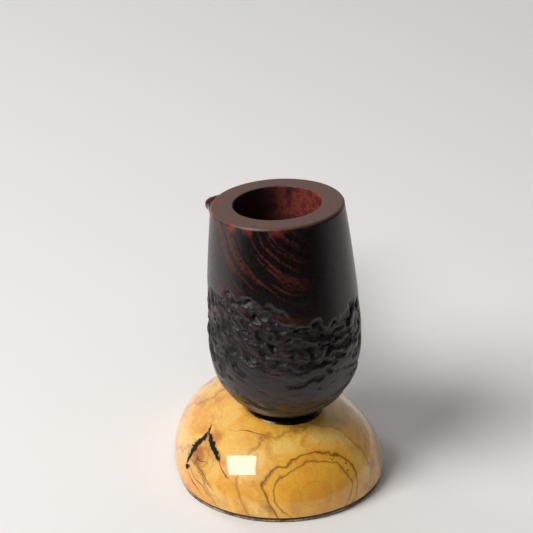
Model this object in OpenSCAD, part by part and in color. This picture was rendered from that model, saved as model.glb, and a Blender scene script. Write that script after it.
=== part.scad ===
// Briar tobacco pipe standing on an oblong olive-wood pipe rest.
// Origin: on the flat underside, straight below the centre of the seat ring.
// +Z is up, +Y runs along the rest towards the mouthpiece. Millimetres.

/* [Rest] */
// Half of the width of the wooden rest
rest_half_w = 25.5; // [22:0.1:30]
// Length of the rest in front of its widest line
rest_front = 24.7; // [20:0.1:30]
// Length of the rest behind its widest line
rest_back = 38.8; // [30:0.1:45]
// Distance of the widest line behind the seat ring
rest_middle = 1.6; // [0:0.1:3]
// Distance of the seat ring to the right of the rest's middle
seat_off = 0.55; // [0:0.05:1]
// Height of the crest above the table
rest_h = 20.7; // [20.5:0.1:22]
// Height of the widest section above the table
rest_belly_z = 1.7; // [1.6:0.1:3]
// Thickness of the black pad under the wood
pad_t = 0.75; // [0.5:0.05:1]
// Thickness of the tan sheet under the pad
sheet_t = 0.65; // [0.5:0.05:1]

/* [Seat ring] */
// Radius of the circle along the middle of the ring's cord
ring_r = 8.2; // [7.5:0.1:8.5]
// Thickness of the ring's cord
ring_cord = 3; // [2.5:0.1:3.2]

/* [Bowl] */
// Height of the bowl along its own axis
bowl_h = 54.1; // [50:0.1:60]
// Radius of the round underside
bowl_under_r = 19; // [18:0.1:21]
// Radius of the outer edge of the rim
rim_r = 15.5; // [14.5:0.1:17]
// Radius of the tobacco chamber
chamber_r = 10.33; // [9:0.01:11]
// Height of the lowest point of the chamber above the underside
chamber_floor = 9.5; // [9:0.5:14]
// Lean of the bowl to the left, in degrees
lean_left = 2.9; // [0:0.1:4]
// Lean of the bowl towards the mouthpiece, in degrees
lean_back = 1.5; // [0:0.1:2]
// Turn of the shank away from the long axis of the rest, in degrees
pipe_turn = -7; // [-8:0.5:8]
// Rise of the shank and mouthpiece away from the bowl, in degrees
shank_rise = 1.5; // [0:0.1:3]

/* [Shank and mouthpiece] */
// Height of the shank's axis above the underside of the bowl
shank_z = 10.2; // [10:0.5:12]
// Radius of the shank where it leaves the bowl
shank_root_r = 9; // [8:0.1:10]
// Radius of the shank at its end
shank_r = 7; // [6.5:0.1:8]
// Length of the shank from the bowl's axis to its end
shank_len = 44; // [36:1:50]
// Radius of the draught hole
draught_r = 1.9; // [1.5:0.1:2]
// Radius of the mortise
mortise_r = 4.05; // [3.6:0.01:4.5]
// Depth of the mortise
mortise_len = 15; // [12:0.5:18]
// Radial clearance of the tenon in the mortise
tenon_gap = 0.05; // [0.02:0.01:0.1]
// Length of the mouthpiece behind the shank
bit_len = 62; // [50:1:75]
// Width of the mouthpiece at the button
button_w = 15.5; // [13:0.5:17]
// Thickness of the mouthpiece at the button
button_t = 5.4; // [4.6:0.1:6.5]
// Thickness of the mouthpiece just in front of the button
bite_t = 4; // [3.6:0.1:4.6]
// Radius of the airway
airway_r = 1.5; // [1.2:0.1:1.8]

/* [Hidden] */
$fn = 96;

// Heights of the layers of the rest
wood_z = sheet_t + pad_t;
dome_h = rest_h - rest_belly_z;
// The two layers under the wood are this much narrower than its widest section
pad_inset = 0.4;

// The seat is a dish, concentric with the round underside of the bowl.
seat_z = 37.1;
dish_gap = 1.2;
// The ring stands this much clear of the underside of the bowl
ring_gap = 0.15;
ring_reach = bowl_under_r + ring_gap + ring_cord / 2;
ring_z = seat_z - sqrt(pow(ring_reach, 2) - pow(ring_r, 2));

// The shank lies in a shallow channel with this much room around it.
channel_gap = 0.3;
shank_start = 10;

// Outline of the bowl above its round underside, as [radius, height]
side = [
  [13.5, 5.6], [16.8, 10.9], [18.15, 17.2], [18.4, 23.5], [17.95, 30.4],
  [17.25, 38.3], [16.45, 46.2], [rim_r, bowl_h]
];
rim_round = 0.6;
side_steps = 4;

tenon_r = mortise_r - tenon_gap;
tenon_len = mortise_len - 1;
tenon_root = 10;
slot_w = 9;
slot_t = 1.6;
slot_len = 12;
button_len = 3;
// Side outlines of the mouthpiece and its button, as [distance from the shank, half thickness]
taper = [
  [-0.5, shank_r + 0.2], [0.16 * bit_len, 5.9], [0.35 * bit_len, 4.5], [0.55 * bit_len, 3.3],
  [0.75 * bit_len, bite_t / 2 + 0.3], [bit_len - button_len + 0.5, bite_t / 2]
];
button = [
  [bit_len - button_len, bite_t / 2 + 0.2], [bit_len - 0.7 * button_len, button_t / 2],
  [bit_len - 0.3 * button_len, button_t / 2], [bit_len + 0.2, button_t / 2 - 1]
];

// One point of a smooth curve through p1 and p2, with p0 and p3 on either side
function spline(p0, p1, p2, p3, t) =
  0.5 * (2 * p1 + (p2 - p0) * t + (2 * p0 - 5 * p1 + 4 * p2 - p3) * t * t
    + (3 * p1 - p0 - 3 * p2 + p3) * t * t * t);

// The smooth curve through all of the points, without its last one
function smooth(points, steps) = [
  for (i = [0 : len(points) - 2], j = [0 : steps - 1])
    spline(
      points[max(i - 1, 0)], points[i], points[i + 1],
      points[min(i + 2, len(points) - 1)], j / steps
    )
];

// Round underside of the bowl from its axis out to the first point of the side
under_steps = 5;
under_angle = asin(side[0][0] / bowl_under_r);
function underside() = [
  for (i = [0 : under_steps - 1])
    let (angle = under_angle * i / under_steps)
      [bowl_under_r * sin(angle), bowl_under_r * (1 - cos(angle))]
];

// Puts the pipe, drawn with its bowl upright over the origin, on its seat
module on_seat() {
  translate([0, 0, seat_z])
    rotate([-lean_back, -lean_left, 0])
      rotate([0, 0, pipe_turn])
        translate([0, 0, -bowl_under_r])
          children();
}

// Tilts the shank and mouthpiece, drawn along +Y, up about the bowl's axis
module rising() {
  translate([0, 0, shank_z])
    rotate([shank_rise, 0, 0])
      translate([0, 0, -shank_z])
        children();
}

// A cylinder or cone along +Y from a place on the shank's axis
module along(y, len, r1, r2 = undef) {
  translate([0, y, shank_z])
    rotate([-90, 0, 0])
      cylinder(r1 = r1, r2 = is_undef(r2) ? r1 : r2, h = len);
}

// Front or back half of the dome, len long along +Y or, turned, along -Y
module half_dome(len, turned = false) {
  intersection() {
    scale([1, len / rest_half_w, dome_h / rest_half_w])
      sphere(r = rest_half_w);
    translate([-rest_half_w - 1, turned ? -len - 1 : 0, 0])
      cube([2 * rest_half_w + 2, len + 1, dome_h + 1]);
  }
}

// A flat layer of the rest's plan, narrower than its widest section by inset
module layer(z, h, inset = 0) {
  half_w = rest_half_w - inset;
  translate([-seat_off, rest_middle, z]) {
    half_oval(half_w, rest_back - inset, h);
    rotate([0, 0, 180])
      half_oval(half_w, rest_front - inset, h);
  }
}

// Half of an oval disc, len long along +Y
module half_oval(half_w, len, h) {
  scale([1, len / half_w, 1])
    rotate_extrude(angle = 180)
      square([half_w, h]);
}

module rest_body() {
  color("goldenrod")
    difference() {
      union() {
        translate([-seat_off, rest_middle, rest_belly_z]) {
          half_dome(rest_back);
          half_dome(rest_front, turned = true);
        }
        layer(wood_z, rest_belly_z - wood_z);
      }
      translate([0, 0, seat_z])
        sphere(r = bowl_under_r + dish_gap);
      ring_shape();
      shank_channel();
    }
}

// Room for the shank, cut into the back of the crest
module shank_channel() {
  on_seat()
    rising()
      shank_shape(channel_gap);
}

// Outside of the shank, larger all round by gap
module shank_shape(gap = 0) {
  along(shank_start, shank_len - shank_start, shank_root_r + gap, shank_r + gap);
}

module ring_shape() {
  translate([0, 0, ring_z])
    rotate_extrude()
      translate([ring_r, 0])
        circle(d = ring_cord);
}

module seat_ring() {
  color("black")
    ring_shape();
}

module base_pad() {
  color("dimgray")
    layer(sheet_t, pad_t, pad_inset);
}

module base_sheet() {
  color("tan")
    layer(0, sheet_t, pad_inset);
}

// Outside of the bowl, with a small round at the outer edge of the rim
module bowl_outside() {
  body = concat(underside(), smooth(side, side_steps));
  rotate_extrude()
    polygon(concat(
      [for (p = body) if (p[1] < bowl_h - 2 * rim_round) p],
      [[rim_r, bowl_h - rim_round], [rim_r - rim_round, bowl_h], [0, bowl_h]]
    ));
}

// Tobacco chamber, open at the rim and round at the bottom
module chamber() {
  middle = chamber_floor + chamber_r;
  translate([0, 0, middle])
    sphere(r = chamber_r);
  translate([0, 0, middle])
    cylinder(r = chamber_r, h = bowl_h - middle + 1);
}

module bowl_and_shank() {
  color("saddlebrown")
    on_seat()
      difference() {
        union() {
          bowl_outside();
          rising() shank_shape();
        }
        chamber();
        rising() {
          along(0, shank_len, draught_r);
          along(shank_len - mortise_len, mortise_len + 1, mortise_r);
        }
      }
}

// Side outline of the mouthpiece, mirrored about its axis, given as [y, half thickness]
module flattened(outline, radius) {
  points = smooth(outline, side_steps);
  last = outline[len(outline) - 1];
  upper = concat(points, [last]);
  lower = [for (i = [len(upper) - 1 : -1 : 0]) [upper[i][0], -upper[i][1]]];
  translate([-radius, shank_len, shank_z])
    rotate([90, 0, 90])
      linear_extrude(height = 2 * radius)
        polygon(concat(upper, lower));
}

module mouthpiece() {
  color("maroon")
    on_seat() rising()
      difference() {
        union() {
          intersection() {
            along(shank_len, bit_len - button_len, shank_r, button_w / 2 - 0.5);
            flattened(taper, button_w);
          }
          intersection() {
            along(shank_len + bit_len - button_len, button_len, button_w / 2);
            flattened(button, button_w);
          }
        }
        along(shank_len - 1, tenon_root + 1, tenon_r);
        along(shank_len, bit_len - slot_len + 1, airway_r);
        airway_slot();
      }
}

// Slot that widens from the airway to the end of the button
module airway_slot() {
  translate([0, shank_len + bit_len - slot_len, shank_z - slot_t / 2])
    linear_extrude(height = slot_t)
      polygon([
        [-airway_r / 2, 0], [airway_r / 2, 0],
        [slot_w / 2, slot_len + 1], [-slot_w / 2, slot_len + 1]
      ]);
}

module tenon() {
  color("black")
    on_seat() rising()
      difference() {
        along(shank_len - tenon_len, tenon_len + tenon_root, tenon_r);
        along(shank_len - tenon_len - 1, tenon_len + tenon_root + 2, draught_r);
      }
}

rest_body();
seat_ring();
base_pad();
base_sheet();
bowl_and_shank();
mouthpiece();
tenon();
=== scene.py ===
"""A briar tobacco pipe that stands in the seat ring of an oblong olive-wood rest.

Everything is in metres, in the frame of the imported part: the rest stands on z = 0, its seat ring is
over the origin, and +Y runs along the rest towards the mouthpiece. Sizes in the classes are millimetres.
"""

import logging
import math
from dataclasses import dataclass
from enum import Enum
from typing import Any, Callable, Sequence

import bmesh
import bpy
import numpy as np
from mathutils import Euler, Matrix, Vector


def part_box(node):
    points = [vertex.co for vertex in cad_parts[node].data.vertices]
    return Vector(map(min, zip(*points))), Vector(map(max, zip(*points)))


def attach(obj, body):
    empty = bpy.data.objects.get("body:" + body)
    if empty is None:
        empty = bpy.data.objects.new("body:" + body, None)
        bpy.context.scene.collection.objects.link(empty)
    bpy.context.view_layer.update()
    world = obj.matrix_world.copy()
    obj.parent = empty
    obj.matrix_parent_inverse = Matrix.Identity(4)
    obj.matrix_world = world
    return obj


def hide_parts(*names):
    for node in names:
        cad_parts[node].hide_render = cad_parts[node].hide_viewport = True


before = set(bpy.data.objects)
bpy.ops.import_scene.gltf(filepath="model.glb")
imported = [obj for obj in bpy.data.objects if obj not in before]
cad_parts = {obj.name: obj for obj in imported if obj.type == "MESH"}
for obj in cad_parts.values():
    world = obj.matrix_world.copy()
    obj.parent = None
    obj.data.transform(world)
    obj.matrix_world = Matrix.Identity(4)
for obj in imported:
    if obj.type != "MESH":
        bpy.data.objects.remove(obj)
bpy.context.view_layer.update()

LOG = logging.getLogger("pipe_on_rest")
MM = 0.001
# A tenth of a micrometre in metres, so that a cut never leaves a sliver past its plane
CUT_TOL = 1e-7
# A height above everything, where no cut reaches the wood
NO_CUT = 99.0
Piece = bpy.types.Object
Socket = bpy.types.NodeSocket
Stop = tuple[float, Any]


class Body(Enum):
    """The moving bodies of the part."""

    REST = "rest"
    PIPE = "pipe"
    BIT = "bit"


class Pick(Enum):
    """What a test in edit mode chooses from."""

    EDGES = "EDGE"
    FACES = "FACE"


# ---------------------------------------------------------------- shaping


def only(piece: Piece) -> None:
    """Deselects everything, then selects one piece and makes it the active one.

    Args:
        piece: The piece to select.
    """
    bpy.ops.object.select_all(action="DESELECT")
    piece.select_set(True)
    bpy.context.view_layer.objects.active = piece


def edit(piece: Piece) -> None:
    """Opens a piece in edit mode with nothing selected.

    Args:
        piece: The piece to open.
    """
    only(piece)
    bpy.ops.object.mode_set(mode="EDIT")
    bpy.ops.mesh.select_all(action="DESELECT")


def leave_edit() -> None:
    """Goes back to object mode."""
    bpy.ops.object.mode_set(mode="OBJECT")


def choose(piece: Piece, kind: Pick, test: Callable[[Any], bool]) -> None:
    """Selects the edges or faces that pass a test, in edit mode.

    Args:
        piece: The piece that is open in edit mode.
        kind: What to choose from.
        test: Takes a bmesh edge or face.
    """
    bpy.ops.mesh.select_all(action="DESELECT")
    bpy.ops.mesh.select_mode(type=kind.value)
    bm = bmesh.from_edit_mesh(piece.data)
    for item in bm.edges if kind is Pick.EDGES else bm.faces:
        if test(item):
            item.select_set(True)
    bm.select_flush_mode()
    bmesh.update_edit_mesh(piece.data)


def points(piece: Piece) -> np.ndarray:
    """Returns the vertices of a mesh in millimetres, one row each.

    Args:
        piece: Any mesh object.

    Returns:
        The vertices.
    """
    flat = np.empty(3 * len(piece.data.vertices))
    piece.data.vertices.foreach_get("co", flat)
    return flat.reshape(-1, 3) / MM


def put_points(piece: Piece, place: np.ndarray) -> None:
    """Moves the vertices of a mesh to places given in millimetres."""
    piece.data.vertices.foreach_set("co", (place * MM).ravel())
    piece.data.update()


def apply_place(piece: Piece) -> None:
    """Puts a piece's location, turn and scale into its mesh."""
    only(piece)
    bpy.ops.object.transform_apply(location=True, rotation=True, scale=True)


def add(name: str, primitive: Callable[..., Any], **sizes: Any) -> Piece:
    """Adds a primitive with nothing else selected, names it and puts its place in its mesh.

    Args:
        name: Name of the new object.
        primitive: The operator that adds it.
        **sizes: Settings of the operator.

    Returns:
        The new object.
    """
    bpy.ops.object.select_all(action="DESELECT")
    primitive(**sizes)
    piece = bpy.context.active_object
    piece.name = piece.data.name = name
    apply_place(piece)
    return piece


def trim(at: Sequence[float], way: Sequence[float], **sides: bool) -> None:
    """Cuts the open mesh along a plane through a point in metres; the settings say which side goes."""
    bpy.ops.mesh.select_all(action="SELECT")
    bpy.ops.mesh.bisect(plane_co=at, plane_no=way, threshold=CUT_TOL, **sides)


def join_onto(piece: Piece, other: Piece) -> None:
    """Joins another object's mesh to a piece.

    Args:
        piece: The piece that stays.
        other: The object whose mesh it takes.
    """
    only(piece)
    other.select_set(True)
    bpy.ops.object.join()


def cut_away(piece: Piece, cutter: Piece) -> None:
    """Subtracts a cutter from a piece and deletes the cutter.

    Args:
        piece: The piece that is cut.
        cutter: A closed shape.
    """
    only(piece)
    cut = piece.modifiers.new("cut", "BOOLEAN")
    cut.operation, cut.solver, cut.object = "DIFFERENCE", "EXACT", cutter
    bpy.ops.object.modifier_apply(modifier=cut.name)
    bpy.data.objects.remove(cutter, do_unlink=True)


def outwards(piece: Piece) -> None:
    """Merges doubles and turns every face outwards.

    Args:
        piece: A closed or open mesh.
    """
    edit(piece)
    bpy.ops.mesh.select_all(action="SELECT")
    bpy.ops.mesh.remove_doubles(threshold=0.002 * MM)
    bpy.ops.mesh.normals_make_consistent(inside=False)
    leave_edit()


def smooth_faces(piece: Piece, angle: float) -> None:
    """Shades a piece smooth, apart from edges sharper than an angle in degrees."""
    only(piece)
    bpy.ops.object.shade_smooth_by_angle(angle=math.radians(angle))


def drum(name: str, start: Vector, end: Vector, r1: float, r2: float, sides: int) -> Piece:
    """Adds a closed cylinder or cone between two points in millimetres.

    Args:
        name: Name of the new object.
        start: Centre of the first end.
        end: Centre of the last end.
        r1: Radius at the start.
        r2: Radius at the end.
        sides: Number of sides.

    Returns:
        The new object, with its place in its mesh.
    """
    return add(name, bpy.ops.mesh.primitive_cone_add, vertices=sides, radius1=r1 * MM, radius2=r2 * MM,
               depth=(end - start).length * MM, location=(start + end) / 2 * MM,
               rotation=(end - start).to_track_quat("Z", "Y").to_euler())


def turned(name: str, profile: Sequence[tuple[float, float]], steps: int) -> Piece:
    """Spins a profile round the Z axis.

    Args:
        name: Name of the new object.
        profile: Points as (radius, height) in millimetres.
        steps: Number of steps round the axis.

    Returns:
        The new surface, open where the profile ends off the axis.
    """
    piece = add(name, bpy.ops.mesh.primitive_circle_add, vertices=len(profile), radius=MM)
    put_points(piece, np.array([(r, 0.0, h) for r, h in profile]))
    edit(piece)
    ends = {0, len(profile) - 1}
    choose(piece, Pick.EDGES, lambda e: {v.index for v in e.verts} == ends)
    bpy.ops.mesh.delete(type="EDGE")
    bpy.ops.mesh.select_all(action="SELECT")
    bpy.ops.mesh.spin(steps=steps, angle=math.tau, center=(0, 0, 0), axis=(0, 0, 1))
    leave_edit()
    outwards(piece)
    return piece


def soft_noise(p: np.ndarray, seed: int) -> np.ndarray:
    """Smooth random values from 0 to 1 that change over one unit of length.

    Args:
        p: Points, one row each.
        seed: Chooses the pattern.

    Returns:
        One value for each point.
    """
    cell = np.floor(p).astype(np.int64)
    part = p - cell
    part = part**3 * (part * (part * 6 - 15) + 10)
    total = np.zeros(len(p))
    for corner in np.ndindex(2, 2, 2):
        at = cell + np.array(corner)
        n = (at[:, 0] * 73856093) ^ (at[:, 1] * 19349663) ^ (at[:, 2] * 83492791) ^ (seed * 97531)
        n = ((n ^ (n >> 13)) * 1274126177) & 0x7FFFFFFF
        n = ((n ^ (n >> 15)) * 69069) & 0x7FFFFFFF
        value = ((n >> 8) & 0xFFFF) / 65535
        weight = np.prod([part[:, i] if c else 1 - part[:, i] for i, c in enumerate(corner)], axis=0)
        total += weight * value
    return total


def ease(value: np.ndarray, low: float, high: float) -> np.ndarray:
    """A smooth step from 0 at low to 1 at high."""
    t = np.clip((value - low) / (high - low), 0, 1)
    return t * t * (3 - 2 * t)


def soft_min(a: np.ndarray, b: np.ndarray, width: Any) -> np.ndarray:
    """The lower of two values, rounded over where they are closer than a width."""
    near = np.clip(width - np.abs(a - b), 0, None) / width
    return np.minimum(a, b) - near * near * width / 4


# ---------------------------------------------------------------- materials


def srgb(code: str) -> tuple[float, float, float, float]:
    """Turns an sRGB hex colour into linear red, green, blue and alpha."""
    parts = [int(code[i : i + 2], 16) / 255 for i in (1, 3, 5)]
    return (*[p / 12.92 if p <= 0.04045 else ((p + 0.055) / 1.055) ** 2.4 for p in parts], 1.0)


def node(tree: bpy.types.NodeTree, kind: str, inputs: dict | None = None,
         stops: Sequence[Stop] | None = None, **settings: Any) -> bpy.types.Node:
    """Adds a node, gives it its settings and fills or links its inputs.

    Args:
        tree: Node tree of the material.
        kind: Type of the node, without its "ShaderNode" prefix.
        inputs: Value or output socket for each input, by name or number.
        stops: Positions and colours of a colour ramp.
        **settings: Properties of the node.

    Returns:
        The new node.
    """
    made = tree.nodes.new("ShaderNode" + kind)
    for key, value in settings.items():
        setattr(made, key, value)
    for key, value in (inputs or {}).items():
        if isinstance(value, bpy.types.NodeSocket):
            tree.links.new(value, made.inputs[key])
        elif isinstance(value, str):
            made.inputs[key].default_value = srgb(value)
        else:
            made.inputs[key].default_value = value
    if stops:
        band = made.color_ramp
        while len(band.elements) < len(stops):
            band.elements.new(1.0)
        for element, (position, colour) in zip(band.elements, stops):
            element.position = position
            element.color = srgb(colour) if isinstance(colour, str) else (colour, colour, colour, 1.0)
    return made


def new_material(name: str) -> tuple[bpy.types.Material, bpy.types.NodeTree]:
    """Starts an empty node material.

    Args:
        name: Name of the material.

    Returns:
        The material and its node tree.
    """
    material = bpy.data.materials.new(name)
    material.use_nodes = True
    material.node_tree.nodes.clear()
    return material, material.node_tree


def close_material(tree: bpy.types.NodeTree, **inputs: Any) -> None:
    """Adds the surface shader, whose inputs are given with underscores for spaces, and the output."""
    shader = node(tree, "BsdfPrincipled", {key.replace("_", " "): value for key, value in inputs.items()})
    node(tree, "OutputMaterial", {"Surface": shader.outputs[0]})


def millimetres(tree: bpy.types.NodeTree, origin: Vector = Vector(), turn: Euler = Euler()) -> Socket:
    """Object coordinates in millimetres, centred and turned as on a piece's own axes.

    Args:
        tree: Node tree of the material.
        origin: Centre of the pattern in millimetres.
        turn: Turn of the pattern.

    Returns:
        The vector output.
    """
    place = node(tree, "TexCoord").outputs["Object"]
    return node(tree, "Mapping", {"Vector": place, "Location": origin * MM, "Rotation": turn,
                                  "Scale": (MM, MM, MM)}, vector_type="TEXTURE").outputs[0]


def add_noise(tree: bpy.types.NodeTree, vector: Socket, size: float, reach: float,
              detail: float = 2) -> Socket:
    """Shifts a position by a random amount.

    Args:
        tree: Node tree of the material.
        vector: Position in millimetres.
        size: Size of the random pattern in millimetres.
        reach: Greatest shift in millimetres.
        detail: Octaves of finer pattern.

    Returns:
        The shifted position.
    """
    cloud = node(tree, "TexNoise", {"Vector": vector, "Scale": 1 / size, "Detail": detail}).outputs[1]
    shift = node(tree, "VectorMath", {0: cloud, 1: (0.5, 0.5, 0.5)}, operation="SUBTRACT").outputs[0]
    return node(tree, "VectorMath", {0: shift, 1: (4 * reach,) * 3, 2: vector},
                operation="MULTIPLY_ADD").outputs[0]


@dataclass(frozen=True)
class Streak:
    """A crack, vein or cloud in the wood, widest in its middle, like a blade set on edge into the wood.

    Attributes:
        start: One end, in millimetres.
        end: The other end.
        half_w: Half of its width in the middle.
        reach: How far it reaches into the wood and out of it, at least.
        heart: A point in the middle of the rest, which the blade's edge points at.
    """

    start: tuple[float, float, float]
    end: tuple[float, float, float]
    half_w: float
    reach: float = 2.5
    heart: tuple[float, float, float] = (0.0, 10.0, 0.0)

    def mask(self, tree: bpy.types.NodeTree, vector: Socket, softness: float) -> Socket:
        """Returns 1 inside the streak and 0 outside, for a position in millimetres.

        Args:
            tree: Node tree of the material.
            vector: Position in millimetres.
            softness: Share of its width over which it fades.

        Returns:
            The strength.
        """
        a, b = Vector(self.start), Vector(self.end)
        along = (b - a).normalized()
        out = (a + b) / 2 - Vector(self.heart)
        out = (out - along * out.dot(along)).normalized()
        turn = Matrix((out.cross(along), out, along)).transposed().to_euler()
        at = node(tree, "Mapping", {"Vector": vector, "Location": (a + b) / 2, "Rotation": turn,
                                    "Scale": (self.half_w, max(self.half_w, self.reach), (b - a).length / 2)},
                  vector_type="TEXTURE").outputs[0]
        away = node(tree, "VectorMath", {0: at}, operation="LENGTH").outputs[1]
        return node(tree, "MapRange", {0: away, 1: 1.0, 2: 1.0 - softness, 3: 0.0, 4: 1.0},
                    interpolation_type="SMOOTHSTEP").outputs[0]


def add_streaks(tree: bpy.types.NodeTree, streaks: Sequence[Streak], vector: Socket, softness: float,
                marks: Socket | None = None) -> Socket:
    """Draws several streaks over one another.

    Args:
        tree: Node tree of the material.
        streaks: What to draw.
        vector: Position in millimetres.
        softness: Share of a streak's width over which it fades.
        marks: Marks that are there already.

    Returns:
        How strong the marks are, from 0 to 1.
    """
    for streak in streaks:
        mark = streak.mask(tree, vector, softness)
        marks = node(tree, "Math", {0: marks, 1: mark}, operation="MAXIMUM").outputs[0] if marks else mark
    return marks


@dataclass(frozen=True)
class LacqueredOlive:
    """Olive wood, sanded and sprayed with a thick gloss lacquer.

    The clear coat gives sharp reflections over a warm, matt wood with thin dark growth lines. Places
    and sizes are in millimetres.
    """

    honey: str = "#f0b43a"
    straw: str = "#f7cf6c"
    amber: str = "#e69f2c"
    # The tan is painted shade, laid over the left side where the light falls strongest
    tan: str = "#c9842a"
    brown: str = "#9c5a20"
    line: str = "#5e2602"
    # Near-black of the open cracks: dark wood inside, with painted shade of their depth, which the mesh doesn't
    # have
    crack: str = "#060302"
    pith: tuple[float, float, float] = (1.0, -18.0, 6.5)
    knot: tuple[float, float, float] = (-21.5, -4.6, 10.2)
    knot_size: tuple[float, float, float] = (6.0, 6.6, 6.0)
    # Thickness and length of a fibre
    fibre: tuple[float, float] = (0.3, 8.0)
    pit_gap: float = 1.15
    pit_zone: Streak = Streak((4.0, -18.0, 13.5), (14.5, -18.0, 7.5), 2.6)
    # Growth lines as (distance from the pith, half width, strength)
    lines: tuple[tuple[float, float, float], ...] = (
        (2.9, 0.14, 0.3), (6.9, 0.2, 0.85), (8.1, 0.22, 1.0), (11.4, 0.26, 0.5), (15.6, 0.2, 0.55),
        (18.2, 0.34, 0.4), (22.5, 0.2, 0.6), (26.4, 0.4, 0.5), (31.0, 0.24, 0.6))
    ring_reach: float = 40.0
    cracks: tuple[Streak, ...] = (
        Streak((-18.6, -0.6, 15.4), (-25.6, -0.6, 6.2), 1.05),
        Streak((-21.6, -0.6, 13.2), (-24.4, -0.8, 9.0), 1.2),
        Streak((-19.3, -0.2, 14.8), (-18.9, -10.6, 11.4), 0.8),
        Streak((-24.8, -0.2, 11.6), (-21.8, -1.4, 10.6), 0.5),
        Streak((-25.9, 0.6, 12.4), (-23.8, -0.8, 10.2), 0.26),
        Streak((-25.9, -2.0, 10.2), (-23.9, -0.8, 9.6), 0.22),
        Streak((-19.4, 0.9, 16.6), (-18.6, -1.4, 13.6), 0.4),
        Streak((-25.8, -1.4, 6.4), (-24.2, -1.6, 6.6), 0.6))
    veins: tuple[Streak, ...] = (
        Streak((-25.0, -0.6, 8.0), (-19.6, -16.0, 1.0), 0.28),
        Streak((-24.4, -2.4, 9.4), (-18.4, -16.6, 2.6), 0.22),
        Streak((-25.4, -0.5, 7.0), (-22.0, -11.0, 1.2), 0.25),
        Streak((-22.6, -4.4, 11.6), (-24.6, -4.2, 8.0), 0.25),
        Streak((-21.4, -6.0, 11.2), (-24.2, -3.2, 9.6), 0.22),
        Streak((-18.9, -9.0, 12.2), (-16.0, -15.4, 7.0), 0.3),
        Streak((-23.2, -3.0, 9.6), (-20.2, -13.6, 4.6), 0.24),
        Streak((-23.6, -1.6, 10.4), (-19.4, -9.0, 9.8), 0.2),
        Streak((-16.6, -2.2, 16.4), (-4.0, -13.2, 17.2), 0.2))
    clouds: tuple[Streak, ...] = (
        Streak((-18.8, -1.0, 15.8), (-16.2, -6.4, 13.0), 2.8),
        Streak((-21.0, -0.6, 13.4), (-23.4, -6.2, 8.2), 2.6),
        Streak((-21.0, -12.0, 4.2), (-17.2, -17.0, 1.2), 1.9),
        Streak((-12.6, -19.8, 5.8), (-8.0, -22.8, 1.4), 1.3),
        Streak((16.6, -15.6, 2.6), (19.6, -11.6, 10.0), 1.9))

    def bands_and_lines(self, tree: bpy.types.NodeTree, loose: Socket) -> tuple[Socket, Socket]:
        """Growth round the pith, which runs along the rest and is wider than it is high.

        Args:
            tree: Node tree of the material.
            loose: Position in millimetres that wanders a little.

        Returns:
            The colour of the soft bands, and the strength of the thin dark lines.
        """
        across = node(tree, "Mapping", {
            "Vector": loose, "Location": self.pith, "Rotation": Euler((0.05, 0, 0.12)),
            "Scale": (1.45, 1e5, 1)}, vector_type="TEXTURE").outputs[0]
        pith = node(tree, "VectorMath", {0: across}, operation="LENGTH").outputs[1]
        depth = node(tree, "Math", {0: pith, 1: self.ring_reach}, operation="DIVIDE").outputs[0]
        stops: list[Stop] = [(0.0, 0.0)]
        for at, half_w, strength in self.lines:
            stops += [((at - half_w) / self.ring_reach, 0.0), (at / self.ring_reach, strength),
                      ((at + half_w) / self.ring_reach, 0.0)]
        growth = node(tree, "ValToRGB", {0: depth}, stops=stops).outputs[0]
        bands = node(tree, "ValToRGB", {0: depth}, stops=[
            (0.0, self.amber), (0.16, self.honey), (0.21, self.honey), (0.26, self.straw), (0.3, self.honey),
            (0.38, self.straw), (0.42, self.amber), (0.47, self.straw), (0.56, self.honey), (0.64, self.amber),
            (0.7, self.straw), (1.0, self.honey)]).outputs[0]
        return bands, growth

    def knot_figure(self, tree: bpy.types.NodeTree, loose: Socket) -> Socket:
        """Wavy figure round the knot, strongest beside it.

        Args:
            tree: Node tree of the material.
            loose: Position in millimetres that wanders a little.

        Returns:
            Its strength.
        """
        at = node(tree, "Mapping", {"Vector": loose, "Location": self.knot, "Scale": self.knot_size},
                  vector_type="TEXTURE").outputs[0]
        halo = node(tree, "VectorMath", {0: at}, operation="LENGTH").outputs[1]
        waves = node(tree, "Math", {0: halo, 1: 19.0}, operation="MULTIPLY").outputs[0]
        waves = node(tree, "Math", {0: waves}, operation="SINE").outputs[0]
        waves = node(tree, "MapRange", {0: waves, 1: 0.1, 2: 1.0, 3: 0.2, 4: 0.55}).outputs[0]
        near = node(tree, "MapRange", {0: halo, 1: 1.05, 2: 0.45},
                    interpolation_type="SMOOTHSTEP").outputs[0]
        return node(tree, "Math", {0: near, 1: waves}, operation="MULTIPLY").outputs[0]

    def pits(self, tree: bpy.types.NodeTree, mm: Socket) -> Socket:
        """Small dark pits beside the growth lines on the right of the front, as a strength.

        Args:
            tree: Node tree of the material.
            mm: Position in millimetres.

        Returns:
            The strength.
        """
        zone = self.pit_zone.mask(tree, mm, 0.6)
        cells = node(tree, "TexVoronoi", {"Vector": mm, "Scale": 1 / self.pit_gap}).outputs[0]
        pits = node(tree, "MapRange", {0: cells, 1: 0.3, 2: 0.16}).outputs[0]
        return node(tree, "Math", {0: pits, 1: zone}, operation="MULTIPLY").outputs[0]

    def make(self) -> bpy.types.Material:
        """Builds the material.

        Returns:
            The material.
        """
        material, tree = new_material("lacquered_olive_wood")
        mm = millimetres(tree)
        loose = add_noise(tree, add_noise(tree, mm, 11, 0.75), 2.8, 0.4)
        bands, growth = self.bands_and_lines(tree, loose)
        cloud = node(tree, "TexNoise", {"Vector": loose, "Scale": 1 / 5.5, "Detail": 4,
                                        "Roughness": 0.6}).outputs[0]
        warm = node(tree, "MapRange", {0: cloud, 1: 0.42, 2: 0.68},
                    interpolation_type="SMOOTHSTEP").outputs[0]
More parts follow.
